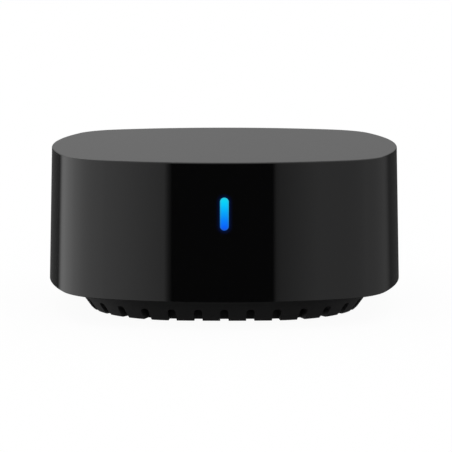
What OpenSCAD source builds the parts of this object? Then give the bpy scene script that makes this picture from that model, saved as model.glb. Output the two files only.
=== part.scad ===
// Smart infrared blaster: a low puck with a gloss shell, a tapered vented base and a light pill in front.
// +Z is up, the front with the light pill faces -Y, and the origin is the middle of the rubber foot's underside.

/* [Upper shell] */
// Width of the shell at its lower edge, the same front to back
shell_w = 66; // [63:0.5:72]
// Height of the shell from its lower edge to the flat top
shell_h = 24.8; // [24:0.1:30]
// How far each side leans in between its lower edge and the top
shell_inset = 0.6; // [0.2:0.1:0.9]
// Radius of the four gently bowed sides, seen from above
side_bow_r = 62.6; // [56:0.2:80]
// Radius of the four corners, seen from above
corner_r = 12.8; // [10:0.2:15]
// Thickness of the side walls
shell_wall = 2; // [1.7:0.1:2.2]
// Thickness of the top
top_wall = 2; // [1.6:0.1:2.4]
// Rounding of the rim round the top
rim_r = 0.25; // [0.15:0.05:0.8]

/* [Base] */
// Height of the tapered base, from its underside up to the shell
base_h = 4.7; // [4.5:0.1:6]
// Width of the base's underside
base_bottom_w = 50; // [49:0.2:52]
// How far each side of the base flares out up to the shell
base_flare = 3.4; // [3:0.1:4.2]
// Radius of the bowed sides of the underside
base_bow_r = 133; // [110:1:160]
// Corner radius of the underside
base_corner_r = 17.4; // [15:0.2:20]
// Wall thickness of the flared side, square to its face
base_wall = 1.6; // [1.4:0.1:1.8]
// Thickness of the floor
floor_t = 1.6; // [1.4:0.1:1.8]
// Thickness of the flange that closes the shell from below
flange_t = 1.6; // [1.2:0.1:1.8]
// Height of the tongue that stands on the flange inside the shell wall
tongue_h = 1; // [0.6:0.1:1.1]
// Thickness of the tongue
tongue_t = 1.2; // [0.8:0.1:1.6]

/* [Vents] */
// Number of vent slots round the base
vent_count = 36; // [24:2:40]
// Width of a vent slot
vent_w = 1.5; // [1:0.1:1.8]
// Height of a vent slot above the underside
vent_h = 2.3; // [2:0.1:2.6]
// Depth of a vent slot, square in from the edge of the underside
vent_depth = 2.1; // [1.8:0.1:2.4]
// Radius of the two top corners of a vent slot
vent_corner_r = 0.45; // [0.2:0.05:0.7]

/* [Foot] */
// How far the rubber foot stands out below the base
foot_stand = 0.4; // [0.3:0.05:0.6]
// Depth of the recess that the foot is glued in
foot_recess = 0.6; // [0.4:0.05:0.7]
// Distance from the edge of the underside in to the recess
foot_inset = 5.5; // [5:0.1:6]

/* [Screws] */
// Distance of each housing screw from the centre
screw_ring_r = 17; // [16:0.1:17.2]
// Diameter of the screw shank
screw_d = 2.3; // [2:0.1:2.5]
// Length of the screw below its head
screw_l = 10; // [8:0.5:12]
// Diameter of the screw head
screw_head_d = 4; // [3.6:0.1:4.2]
// Height of the screw head
screw_head_h = 1.5; // [1.2:0.1:1.6]
// Outer diameter of the shell's screw posts
post_d = 6; // [5:0.1:6.4]

/* [Light pill] */
// Width of the light pill
pill_w = 1.6; // [1.2:0.1:2.4]
// Height of the light pill
pill_h = 6; // [4:0.1:7]
// Depth of the pill's middle below the flat top
pill_depth = 9.1; // [8.3:0.1:10.3]
// Margin of the lens flange round the pill
lens_margin = 1; // [0.6:0.1:1.4]
// Thickness of the lens flange behind the wall
lens_flange_t = 0.8; // [0.6:0.1:1]
// Length of the light baffle between the lens and the small board
baffle_l = 2.4; // [2:0.1:3]
// Wall thickness of the light baffle
baffle_wall = 1.2; // [0.8:0.1:1.4]

/* [Circuit board] */
// Clearance height between the floor and the main board
board_lift = 6; // [5.8:0.1:6.4]
// Thickness of the main board
board_t = 1.6; // [1.2:0.2:1.6]
// Distance from the shell's outside to the edge of the main board
board_inset = 3; // [2.8:0.1:3.6]
// Width of the small upright board behind the light pill
small_board_w = 8; // [7:0.2:9]
// Thickness of the small upright board
small_board_t = 1; // [0.8:0.1:1.2]

/* [Infrared emitters] */
// Diameter of an emitter's lens
led_d = 5; // [4.8:0.1:5.2]
// Length of an emitter from its foot to the tip of its lens
led_l = 8.6; // [8:0.1:9]
// Gap between the shell's inner wall and the tip of each emitter that points sideways
led_gap = 1.4; // [1.2:0.1:1.8]
// Gap between the ceiling of the shell and the tip of the emitter that points up
ceiling_gap = 2.7; // [1.3:0.1:3.3]
// Thickness of a component lead
lead_d = 0.5; // [0.4:0.05:0.6]
// Spacing of the leads of a component
lead_pitch = 2.54; // [2.54]

/* [Rear port and button] */
// Width of the charging socket's shell
usb_w = 8.94; // [8.94]
// Height of the charging socket's shell
usb_h = 3.26; // [3.26]
// Depth of the charging socket
usb_l = 7.35; // [6.5:0.05:8]
// Sideways place of the charging socket
usb_x = -4.5; // [-5:0.1:-4.5]
// Width of the recess that lets a plug's grip in
port_w = 12.8; // [12.6:0.1:13]
// Height of the recess that lets a plug's grip in
port_h = 7.2; // [7:0.1:7.4]
// Depth of the recess at the middle of the rear
port_depth = 1.3; // [1.1:0.05:1.4]
// Sideways place of the reset button
reset_x = 5.6; // [5.4:0.1:6]
// Diameter of the reset button
reset_d = 4; // [3.6:0.1:4.2]
// Travel of the reset button
reset_travel = 0.3; // [0.2:0.05:0.4]

/* [Hidden] */
$fn = 96;
// Overrun of every cut past the face that it opens
over = 1;
// Running clearance between parts that slide or slip together, on each side
slip = 0.1;
// Clearance between the tongue and the shell wall
tongue_gap = 0.15;
// Clearance of a screw or lead in a hole it only passes through, on each side
pass_gap = 0.2;
quarter = 90;
full_turn = 360;
// Flat steps along each bowed side and round each corner of an outline
side_steps = 12;
corner_steps = 10;

// Levels
base_z = foot_stand;
shell_z = base_z + base_h;
shell_top = shell_z + shell_h;
ceiling_z = shell_top - top_wall;
floor_z = base_z + floor_t;
board_z = floor_z + board_lift;
board_top = board_z + board_t;
flange_top = shell_z + flange_t;
tongue_top = flange_top + tongue_h;

// Outlines seen from above, each as [half width, bow radius, corner radius]
shell_line = [shell_w / 2, side_bow_r, corner_r];
cavity_line = grown(shell_line, -shell_wall);
base_line = [base_bottom_w / 2, base_bow_r, base_corner_r];
board_line = grown(shell_line, -board_inset);
foot_line = grown(base_line, -foot_inset);

// Slopes, as outward run for each unit of height
lean_slope = -shell_inset / shell_h;
flare_slope = base_flare / base_h;
base_wall_across = base_wall * sqrt(1 + flare_slope * flare_slope);

// Screw places, as angles from the front
screw_angles = [60, 120, 240, 300];
head_sink = 0.6;
screw_seat_z = base_z + foot_recess + screw_head_h + head_sink;
pilot_spare = 1;
pilot_depth = screw_l - (board_top - screw_seat_z) + pilot_spare;
head_bore_d = screw_head_d + 4 * pass_gap;
post_skin = 1;
base_post_d = head_bore_d + 2 * post_skin;
post_rib_t = 1;
post_rib_l = 2;
post_rib_h = 6;
recess_w = 2.2;
recess_t = 0.5;
recess_h = 0.9;
tip_h = 1;

// Light pill
pill_z = shell_top - pill_depth;
lens_w = pill_w + 2 * lens_margin;
lens_h = pill_h + 2 * lens_margin;
lens_back = inner_half(pill_z + lens_h / 2) - slip;
baffle_front = lens_back - lens_flange_t;
small_board_front = baffle_front - baffle_l;
baffle_w = lens_w + 2 * baffle_wall;
baffle_h = lens_h + 2 * baffle_wall;
small_board_top = pill_z + baffle_h / 2;
small_board_tab_w = small_board_w * 5 / 8;
small_led_w = 1.6;
small_led_h = 0.8;
small_led_t = 0.6;
small_led_count = 3;
small_led_pitch = pill_h / small_led_count;

// Wireless module
module_w = 16;
module_l = 18;
module_t = 0.8;
module_y = -4;
module_pad_d = 0.9;
module_pad_count = 7;
module_pad_pitch = 2;
can_w = 13;
can_l = 11;
can_h = 2.1;
can_wall = 0.25;
can_edge = 1;
can_y = module_y + (module_l - can_l) / 2 - can_edge;

// Infrared emitters, as angles from the front
led_angles = [30, 90, 145, 215, 270, 330];
led_flange_t = 1;
led_flange_d = led_d + 0.8 * led_flange_t;
led_axis_z = board_top + led_flange_d / 2 + slip;
lead_run = 1.4;
lead_bend_r = 0.8;
lead_tail = 1;
lead_hole_d = lead_d + 2 * pass_gap;
top_led_gap = 1.6;
top_led_y = module_y + module_l / 2 + led_flange_d / 2 + top_led_gap;
top_led_foot = ceiling_z - ceiling_gap - led_l;

// Infrared receiver
receiver_angle = 300;
receiver_w = 6;
receiver_t = 4;
receiver_h = 7;
receiver_lens_d = 4.6;
receiver_up = 1.2;
receiver_gap = 0.8;
receiver_r = wall_reach(receiver_angle, board_top + receiver_up + receiver_h / 2) - receiver_gap
    - receiver_lens_d / 2 - receiver_t;

// Rear port
usb_wall = 0.3;
usb_z = board_top + usb_h / 2;
port_floor = outer_half(usb_z) - port_depth;
usb_face = port_floor - slip;
usb_block_l = 2.2;
usb_tongue_w = 6.69;
usb_tongue_t = 0.7;
usb_tongue_back = 0.6;
usb_leg_w = 0.9;
usb_leg_share = 0.22;

// Reset button and the switch behind it
reset_z = usb_z;
reset_recess = 0.1;
reset_face = wall_y(reset_x + reset_d / 2, outer_half(reset_z), side_bow_r) - reset_recess;
reset_flange_t = 0.8;
reset_flange_d = reset_d + 1.8 * reset_flange_t;
reset_flange_front =
    wall_y(reset_x + reset_flange_d / 2, inner_half(reset_z + reset_flange_d / 2), side_bow_r - shell_wall) - slip;
reset_flange_back = reset_flange_front - reset_flange_t;
reset_stem_d = 2.4;
reset_stem_l = 0.5;
reset_crown = 0.2;
plunger_d = 1.8;
plunger_out = 1.2;
plunger_in = 1;
plunger_fit = 0.05;
plunger_front = reset_flange_back - reset_stem_l;
switch_front = plunger_front - plunger_out;
switch_w = 6;
switch_l = 3.6;
switch_h = usb_h;

// Smaller electronic parts
capacitor_d = 6.3;
capacitor_h = 7.7;
capacitor_base_t = 1;
capacitor_gap = 0.4;
capacitor_r = screw_ring_r + post_d / 2 + capacitor_gap + capacitor_d / 2;
capacitor_angle = screw_angles[2];
regulator_w = 6.5;
regulator_l = 3.5;
regulator_t = 1.6;
regulator_leg_w = 0.8;
regulator_leg_l = 1.7;
regulator_leg_t = 0.3;
regulator_gap = 1.5;
regulator_y = usb_face - usb_l - regulator_gap - regulator_l / 2 - regulator_leg_l + slip;
transistor_w = 2.9;
transistor_l = 1.4;
transistor_t = 1;
transistor_leg_w = 0.5;
transistor_leg_l = 0.6;
transistor_leg_t = 0.2;
transistor_gap = 0.2;
transistor_reach = transistor_l / 2 + transistor_leg_l - slip + transistor_gap;
transistor_places = [[0, module_l / 2 - module_y], [quarter, module_w / 2], [3 * quarter, module_w / 2]];
resistor_w = 1.3;
resistor_l = 2;
resistor_t = 0.6;
resistor_edge = 6.4;
resistor_r = shell_w / 2 - board_inset - resistor_edge;
resistor_angles = [12, 45, 75, 105, 285, 315, 348];
chip_cap_w = 1.3;
chip_cap_l = 2;
chip_cap_t = 1;
chip_cap_count = 4;
chip_cap_pitch = 2.6;
chip_cap_gap = 0.4;
chip_cap_y = top_led_y + led_flange_d / 2 + chip_cap_gap + chip_cap_l / 2;

// An outline moved outward by the same amount all round
function grown(line, by) = [line[0] + by, line[1] + by, line[2] + by];

// Half width of the shell's outside and of its cavity at a height
function outer_half(z) = shell_w / 2 + lean_slope * (z - shell_z);
function inner_half(z) = outer_half(z) - shell_wall;

// Distance from the centre to the cavity's wall, in the direction of an angle from the front
function wall_reach(angle, z) =
    let (off = quarter / 2 - abs(angle % quarter - quarter / 2), far = side_bow_r - shell_w / 2)
    sqrt(pow(far + inner_half(z), 2) - pow(far * sin(off), 2)) - far * cos(off);

// Distances from the centre to the foot of an emitter and to the holes of its leads
function led_foot(angle) = wall_reach(angle, led_axis_z) - led_gap - led_l;
function lead_hole(angle) = led_foot(angle) - lead_run - lead_bend_r;

// Distance from the middle plane to a bowed wall, at a sideways place
function wall_y(x, half, bow) = sqrt(bow * bow - x * x) - (bow - half);

// Points of a quarter round with a radius, from a side that stands up to a flat top
function round_over(out, top, r, steps = 3) =
    [for (i = [0:steps]) [out - r + r * cos(quarter * i / steps), top - r + r * sin(quarter * i / steps)]];

// Points of an outline, counter-clockwise from above: four bowed sides joined by four corner arcs
function outline_points(line) =
    let (far = line[1] - line[0],
        corner_at = (sqrt(2 * pow(line[1] - line[2], 2) - far * far) - far) / 2,
        turn = atan2(corner_at, corner_at + far))
    [for (side = [0:3]) each concat(
        [for (i = [0:side_steps - 1]) let (a = turn * (2 * i / side_steps - 1))
            turned([line[1] * cos(a) - far, line[1] * sin(a)], side)],
        [for (i = [0:corner_steps - 1]) let (a = turn + (quarter - 2 * turn) * i / corner_steps)
            turned([corner_at + line[2] * cos(a), corner_at + line[2] * sin(a)], side)])];

function turned(p, side) =
    [p[0] * cos(quarter * side) - p[1] * sin(quarter * side), p[0] * sin(quarter * side) + p[1] * cos(quarter * side)];

// Solid of one outline with upright sides
module slab(line, foot, top) {
    translate([0, 0, foot])
        linear_extrude(top - foot)
            polygon(outline_points(line));
}

// Solid of an outline whose edge leans or rounds over. The edge lists [outward, height] points from the foot up.
module form(line, edge) {
    n = 4 * (side_steps + corner_steps);
    rings = len(edge);
    polyhedron(
        points = [for (e = edge) each [for (p = outline_points(grown(line, e[0]))) [p[0], p[1], e[1]]]],
        faces = concat(
            [[for (i = [0:n - 1]) i]],
            [for (k = [0:rings - 2], i = [0:n - 1])
                [k * n + i, (k + 1) * n + i, (k + 1) * n + (i + 1) % n, k * n + (i + 1) % n]],
            [[for (i = [n - 1:-1:0]) (rings - 1) * n + i]]));
}

// Places its children at an angle from the front, with -Y as the outward direction
module around(angle, r = 0, z = 0) {
    rotate(angle)
        translate([0, -r, z])
            children();
}

// Flat shape with round ends, wider than it is high
module pill_shape(w, h) {
    r = min(w, h) / 2;
    square([w - (w > h ? 2 * r : 0), h - (w > h ? 0 : 2 * r)], center = true);
    for (s = [-1, 1])
        translate(w > h ? [s * (w / 2 - r), 0] : [0, s * (h / 2 - r)])
            circle(r);
}

// Bar with a pill section that runs along Y between two places
module pill_bar(w, h, x, z, from, to) {
    translate([x, to, z])
        rotate([quarter, 0, 0])
            linear_extrude(to - from)
                pill_shape(w, h);
}

// Round bar that runs along Y between two places
module bar(d, x, z, from, to) {
    translate([x, to, z])
        rotate([quarter, 0, 0])
            cylinder(d = d, h = to - from);
}

// Upright box centred sideways on a place
module box(x, y, w, l, foot, top) {
    translate([x - w / 2, y - l / 2, foot])
        cube([w, l, top - foot]);
}

// The four places of the housing screws
module screw_places() {
    for (a = screw_angles)
        around(a, screw_ring_r)
            children();
}

// One-piece cover that lets infrared light through, with its screw posts and its openings
module upper_shell() {
    inner_top_lean = lean_slope * (ceiling_z - shell_z);
    color([0.02, 0.02, 0.024])
        difference() {
            union() {
                difference() {
                    form(shell_line, concat([[0, shell_z]], round_over(-shell_inset, shell_top, rim_r)));
                    form(cavity_line, [[-over * lean_slope, shell_z - over], [inner_top_lean, ceiling_z]]);
                }
                screw_places() {
                    translate([0, 0, board_top])
                        cylinder(d = post_d, h = ceiling_z - board_top + top_wall / 2);
                    for (a = [0, quarter])
                        rotate(a)
                            box(0, 0, post_d + 2 * post_rib_l, post_rib_t, ceiling_z - post_rib_h,
                                ceiling_z + top_wall / 2);
                }
            }
            screw_places()
                translate([0, 0, board_top - over])
                    cylinder(d = screw_d + slip, h = pilot_depth + over);
            pill_bar(pill_w + slip, pill_h + slip, 0, pill_z, -shell_w / 2 - over, -lens_back + over);
            pill_bar(port_w, port_h, usb_x, usb_z, port_floor, shell_w / 2 + over);
            pill_bar(usb_w + 3 * slip, usb_h + 3 * slip, usb_x, usb_z, port_floor - 2 * shell_wall, shell_w / 2);
            bar(reset_d + 2 * slip, reset_x, reset_z, reset_flange_back, shell_w / 2 + over);
        }
}

// Tray that closes the shell from below, with vent slots, a flange, a tongue and screw posts
module base_cover() {
    rim_line = grown(cavity_line, -tongue_gap);
    inner_foot = flare_slope * floor_t - base_wall_across;
    inner_head = base_flare - base_wall_across;
    color([0.05, 0.05, 0.052])
        difference() {
            union() {
                difference() {
                    union() {
                        form(base_line, [[0, base_z], [base_flare, shell_z]]);
                        slab(rim_line, shell_z, tongue_top);
                    }
                    form(base_line, [[inner_foot, floor_z], [inner_head, shell_z], [inner_head, tongue_top + over]]);
                    slab(grown(rim_line, -tongue_t), flange_top, tongue_top + over);
                    vents();
                    slab(foot_line, base_z - over, base_z + foot_recess);
                }
                screw_places()
                    translate([0, 0, base_z + foot_recess])
                        cylinder(d = base_post_d, h = board_z - base_z - foot_recess);
            }
            screw_places() {
                translate([0, 0, base_z])
                    cylinder(d = head_bore_d, h = screw_seat_z - base_z);
                translate([0, 0, base_z])
                    cylinder(d = screw_d + 2 * pass_gap, h = board_z);
            }
        }
}

// Place on the front side of an outline, a run along it from the middle: [x, y, angle that it faces]
function front_spot(line, run) =
    let (far = line[1] - line[0],
        corner_at = (sqrt(2 * pow(line[1] - line[2], 2) - far * far) - far) / 2,
        turn = atan2(corner_at, corner_at + far),
        degree = full_turn / (2 * PI),
        past = abs(run) - line[1] * turn / degree,
        a = past < 0 ? abs(run) / line[1] * degree : turn + past / line[2] * degree)
    [sign(run) * (past < 0 ? line[1] * sin(a) : corner_at + line[2] * sin(a)),
        past < 0 ? far - line[1] * cos(a) : -corner_at - line[2] * cos(a), sign(run) * a];

// Length of one side of an outline, from the middle of a corner to the middle of the next
function side_run(line) =
    let (far = line[1] - line[0],
        corner_at = (sqrt(2 * pow(line[1] - line[2], 2) - far * far) - far) / 2,
        turn = atan2(corner_at, corner_at + far))
    2 * PI * (2 * line[1] * turn + line[2] * (quarter - 2 * turn)) / full_turn;

// Cutter of one vent slot: open below, with two small round corners at the top
module vent_cutter() {
    corner_z = base_z + vent_h - vent_corner_r;
    outside = -2 * base_flare;
    middle = (outside + vent_depth) / 2;
    reach = vent_depth - outside;
    box(0, middle, vent_w, reach, base_z - over, corner_z);
    box(0, middle, vent_w - 2 * vent_corner_r, reach, base_z - over, base_z + vent_h);
    for (side = [-1, 1])
        bar(2 * vent_corner_r, side * (vent_w / 2 - vent_corner_r), corner_z, outside, vent_depth);
}

// Cutters of all vent slots, evenly spaced along the edge of the underside and square to it
module vents() {
    run = side_run(base_line);
    sides = full_turn / quarter;
    for (i = [0:vent_count - 1])
        let (way = i * sides / vent_count, side = round(way), spot = front_spot(base_line, (way - side) * run))
            rotate(side * quarter)
                translate([spot[0], spot[1]])
                    rotate(spot[2])
                        vent_cutter();
}

// Rubber pad that the puck stands on, glued over the screws
module foot_pad() {
    edge = foot_stand / 2;
    color([0.035, 0.035, 0.037])
        form(grown(foot_line, -slip), [[-edge, 0], [0, edge], [0, base_z + foot_recess]]);
}

// Self-tapping screws with a pan head and a cross recess
module housing_screws() {
    color("silver")
        screw_places() {
            difference() {
                translate([0, 0, screw_seat_z - screw_head_h])
                    cylinder(d1 = screw_head_d - recess_t, d2 = screw_head_d, h = screw_head_h);
                for (a = [0, quarter])
                    rotate(a)
                        box(0, 0, recess_w, recess_t, screw_seat_z - screw_head_h - over,
                            screw_seat_z - screw_head_h + recess_h);
            }
            translate([0, 0, screw_seat_z])
                cylinder(d = screw_d, h = screw_l - tip_h);
            translate([0, 0, screw_seat_z + screw_l - tip_h])
                cylinder(d1 = screw_d, d2 = screw_d / 2, h = tip_h);
        }
}

// Clear pill that fills the slot in the shell flush, with a flange behind the wall
module indicator_lens() {
    color([0.05, 0.55, 1])
        union() {
            intersection() {
                pill_bar(pill_w, pill_h, 0, pill_z, -shell_w, -lens_back + lens_flange_t / 2);
                form(shell_line, [[0, shell_z], [-shell_inset, shell_top]]);
            }
            pill_bar(lens_w, lens_h, 0, pill_z, -lens_back, -baffle_front);
        }
}

// Opaque tunnel that keeps the indicator light inside the pill
module light_baffle() {
    color([0.85, 0.85, 0.83])
        difference() {
            translate([-baffle_w / 2, -baffle_front, pill_z - baffle_h / 2])
                cube([baffle_w, baffle_l, baffle_h]);
            pill_bar(lens_w - lens_margin, lens_h - lens_margin, 0, pill_z, -baffle_front - over,
                -small_board_front + over);
        }
}

// Upright board behind the light pill, with a tab that plugs into the main board
module indicator_board() {
    small_board_mid = -small_board_front + small_board_t / 2;
    color([0.05, 0.2, 0.1]) {
        box(0, small_board_mid, small_board_w, small_board_t, board_top, small_board_top);
        box(0, small_board_mid, small_board_tab_w, small_board_t, board_z - lead_tail, board_top + small_board_t);
    }
}

// Row of small light sources inside the baffle
module indicator_leds() {
    color([0.95, 0.93, 0.8])
        for (i = [0:small_led_count - 1])
            translate([-small_led_w / 2, -small_board_front - small_led_t,
                pill_z + (i - (small_led_count - 1) / 2) * small_led_pitch - small_led_h / 2])
                cube([small_led_w, small_led_t, small_led_h]);
}

// Holes for the pair of leads of an emitter, across the outward direction
module lead_pair(r) {
    for (s = [-1, 1])
        translate([s * lead_pitch / 2, -r, board_z - over])
            cylinder(d = lead_hole_d, h = board_t + 2 * over);
}

// Main circuit board on the plan of the shell, notched for the reset button's flange
module main_board() {
    color([0.04, 0.22, 0.1])
        difference() {
            slab(board_line, board_z, board_top);
            screw_places()
                translate([0, 0, board_z - over])
                    cylinder(d = screw_d + 2 * pass_gap, h = board_t + 2 * over);
            for (a = led_angles)
                around(a)
                    lead_pair(lead_hole(a));
            lead_pair(-top_led_y);
            around(receiver_angle)
                for (s = [-1:1])
                    translate([s * lead_pitch * 2 / 3, -receiver_r - receiver_t / 2, board_z - over])
                        cylinder(d = lead_hole_d, h = board_t + 2 * over);
            box(0, -small_board_front + small_board_t / 2, small_board_tab_w + 2 * slip, small_board_t + 2 * slip,
                board_z - over, board_top + over);
            usb_legs(pass_gap, board_z - over, board_top + over);
            translate([reset_x - reset_flange_d / 2 - pass_gap, reset_flange_back - reset_travel - pass_gap,
                board_z - over])
                cube([reset_flange_d + 2 * pass_gap, shell_w / 2, board_t + 2 * over]);
        }
}

// Round-nosed emitter with its flange at z = 0 and its nose up
module emitter() {
    cylinder(d = led_flange_d, h = led_flange_t);
    cylinder(d = led_d, h = led_l - led_d / 2);
    translate([0, 0, led_l - led_d / 2])
        sphere(d = led_d);
}

module side_emitter(angle) {
    color([0.12, 0.12, 0.16, 0.9])
        around(angle, led_foot(angle), led_axis_z)
            rotate([quarter, 0, 0])
                emitter();
}

module ir_led_front_right() { side_emitter(led_angles[0]); }
module ir_led_right() { side_emitter(led_angles[1]); }
module ir_led_rear_right() { side_emitter(led_angles[2]); }
module ir_led_rear_left() { side_emitter(led_angles[3]); }
module ir_led_left() { side_emitter(led_angles[4]); }
module ir_led_front_left() { side_emitter(led_angles[5]); }

// Emitter that stands on tall leads and lights the ceiling of the room
module ir_led_top() {
    color([0.12, 0.12, 0.16, 0.9])
        translate([0, top_led_y, top_led_foot])
            emitter();
}

// Lead that leaves an emitter level, bends down and passes through the main board
module bent_lead() {
    drop = led_axis_z - lead_bend_r - (board_z - lead_tail);
    translate([0, 0, led_axis_z])
        rotate([-quarter, 0, 0])
            cylinder(d = lead_d, h = lead_run);
    translate([0, lead_run, led_axis_z - lead_bend_r])
        rotate([quarter, 0, quarter])
            rotate_extrude(angle = quarter)
                translate([lead_bend_r, 0])
                    circle(d = lead_d);
    translate([0, lead_run + lead_bend_r, board_z - lead_tail])
        cylinder(d = lead_d, h = drop);
}

// Wire leads of all the emitters
module ir_led_leads() {
    color("silver") {
        for (a = led_angles, s = [-1, 1])
            around(a, led_foot(a))
                translate([s * lead_pitch / 2, 0, 0])
                    bent_lead();
        for (s = [-1, 1])
            translate([s * lead_pitch / 2, top_led_y, board_z - lead_tail])
                cylinder(d = lead_d, h = top_led_foot - board_z + lead_tail);
    }
}

// Receiver that learns codes from a handset, with its lens outward
module ir_receiver() {
    foot = board_top + receiver_up;
    color([0.05, 0.05, 0.06])
        around(receiver_angle) {
            box(0, -receiver_r - receiver_t / 2, receiver_w, receiver_t, foot, foot + receiver_h);
            translate([0, -receiver_r - receiver_t, foot + receiver_h / 2])
                intersection() {
                    sphere(d = receiver_lens_d);
                    translate([-receiver_w / 2, -receiver_w, -receiver_h / 2])
                        cube([receiver_w, receiver_w + receiver_t / 2, receiver_h]);
                }
        }
}

module ir_receiver_leads() {
    color("silver")
        around(receiver_angle)
            for (s = [-1:1])
                translate([s * lead_pitch * 2 / 3, -receiver_r - receiver_t / 2, board_z - lead_tail])
                    cylinder(d = lead_d, h = board_top + receiver_up - board_z + lead_tail);
}

// Wireless module's own board, soldered flat by the half holes in its long edges
module wifi_module_board() {
    color([0.03, 0.08, 0.2])
        difference() {
            box(0, module_y, module_w, module_l, board_top, board_top + module_t);
            for (s = [-1, 1], i = [0:module_pad_count - 1])
                translate([s * module_w / 2, module_y + (i - (module_pad_count - 1) / 2) * module_pad_pitch,
                    board_top - over])
                    cylinder(d = module_pad_d, h = module_t + 2 * over);
        }
}

// Tin cover over the wireless module's chips
module wifi_shield_can() {
    foot = board_top + module_t;
    color("silver")
        difference() {
            box(0, can_y, can_w, can_l, foot, foot + can_h);
            box(0, can_y, can_w - 2 * can_wall, can_l - 2 * can_wall, foot - over, foot + can_h - can_wall);
        }
}

module voltage_regulator() {
    color([0.08, 0.08, 0.08])
        union() {
            box(usb_x, regulator_y, regulator_w, regulator_l, board_top, board_top + regulator_t);
            box(usb_x, regulator_y + regulator_l / 2 + regulator_leg_l / 2 - slip, regulator_w / 2,
                regulator_leg_l, board_top, board_top + regulator_leg_t);
            for (s = [-1:1])
                box(usb_x + s * (regulator_w - regulator_leg_w) / 2, regulator_y - regulator_l / 2
                    - regulator_leg_l / 2 + slip, regulator_leg_w, regulator_leg_l, board_top,
                    board_top + regulator_leg_t);
        }
}

// Can capacitor on its square base
module bulk_capacitor() {
    color([0.75, 0.76, 0.78])
        around(capacitor_angle, capacitor_r, board_top) {
            box(0, 0, capacitor_d, capacitor_d, 0, capacitor_base_t);
            cylinder(d = capacitor_d, h = capacitor_h);
        }
}

// Transistors that switch the emitters
module driver_transistors() {
    color([0.08, 0.08, 0.08])
        for (spot = transistor_places)
            around(spot[0], spot[1] + transistor_reach, board_top) {
                box(0, 0, transistor_w, transistor_l, 0, transistor_t);
                for (place = [[-1, -1], [1, -1], [0, 1]])
                    box(place[0] * (transistor_w - transistor_leg_w) / 2,
                        place[1] * (transistor_l / 2 + transistor_leg_l / 2 - slip), transistor_leg_w,
                        transistor_leg_l, 0, transistor_leg_t);
            }
}

module chip_resistors() {
    color([0.1, 0.1, 0.12])
        for (a = resistor_angles)
            around(a, resistor_r, board_top)
                box(0, 0, resistor_w, resistor_l, 0, resistor_t);
}

module chip_capacitors() {
    color([0.6, 0.5, 0.36])
        for (i = [0:chip_cap_count - 1])
            box((i + 1 / 2) * chip_cap_pitch, chip_cap_y, chip_cap_w, chip_cap_l, board_top, board_top + chip_cap_t);
}

// Legs of the charging socket, grown by a clearance for the slots that take them
module usb_legs(gap, foot, top) {
    for (s = [-1, 1], t = [-1, 1])
        box(usb_x + s * (usb_w - usb_wall) / 2, usb_face - usb_l / 2 + t * usb_l * usb_leg_share,
            usb_wall + 2 * gap, usb_leg_w + 2 * gap, foot, top);
}

// Metal shell of the charging socket
module usb_socket_shell() {
    color("silver")
        union() {
            difference() {
                pill_bar(usb_w, usb_h, usb_x, usb_z, usb_face - usb_l, usb_face);
                pill_bar(usb_w - 2 * usb_wall, usb_h - 2 * usb_wall, usb_x, usb_z, usb_face - usb_l - over,
                    usb_face + over);
            }
            usb_legs(0, board_z + slip, usb_z);
        }
}

// Moulded block and contact tongue inside the charging socket
module usb_socket_tongue() {
    back = usb_face - usb_l;
    color([0.05, 0.05, 0.05])
        union() {
            pill_bar(usb_w - 2 * usb_wall, usb_h - 2 * usb_wall, usb_x, usb_z, back, back + usb_block_l);
            box(usb_x, (back + usb_face - usb_tongue_back) / 2, usb_tongue_w, usb_l - usb_tongue_back,
                usb_z - usb_tongue_t / 2, usb_z + usb_tongue_t / 2);
        }
}

// Side-push switch body, with the bore that its plunger slides in
module reset_switch() {
    color([0.75, 0.75, 0.76])
        difference() {
            box(reset_x, switch_front - switch_l / 2, switch_w, switch_l, board_top, board_top + switch_h);
            bar(plunger_d + 2 * plunger_fit, reset_x, reset_z, switch_front - plunger_in - 2 * reset_travel,
                switch_front + over);
        }
}

// Plunger of the switch
module reset_plunger() {
    color([0.1, 0.1, 0.1])
        bar(plunger_d, reset_x, reset_z, switch_front - plunger_in, plunger_front);
}

// Button cap that slides in the shell's rear wall, with a flange inside and a stem on the plunger
module reset_button() {
    color([0.04, 0.04, 0.042])
        union() {
            bar(reset_d, reset_x, reset_z, reset_flange_back, reset_face - reset_crown);
            translate([reset_x, reset_face - reset_crown, reset_z])
                rotate([-quarter, 0, 0])
                    cylinder(d1 = reset_d, d2 = reset_d - 2 * reset_crown, h = reset_crown);
            bar(reset_flange_d, reset_x, reset_z, reset_flange_back, reset_flange_front);
            bar(reset_stem_d, reset_x, reset_z, plunger_front, reset_flange_back + reset_flange_t / 2);
        }
}

upper_shell();
base_cover();
foot_pad();
housing_screws();
indicator_lens();
light_baffle();
indicator_board();
indicator_leds();
main_board();
ir_led_front_right();
ir_led_right();
ir_led_rear_right();
ir_led_rear_left();
ir_led_left();
ir_led_front_left();
ir_led_top();
ir_led_leads();
ir_receiver();
ir_receiver_leads();
wifi_module_board();
wifi_shield_can();
voltage_regulator();
bulk_capacitor();
driver_transistors();
chip_resistors();
chip_capacitors();
usb_socket_shell();
usb_socket_tongue();
reset_switch();
reset_plunger();
reset_button();
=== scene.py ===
"""Dressed pieces, finishes and studio of a smart infrared blaster puck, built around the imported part.

Everything is in metres in the part's own frame: Z up, the front with the light pill faces -Y.
"""

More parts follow.
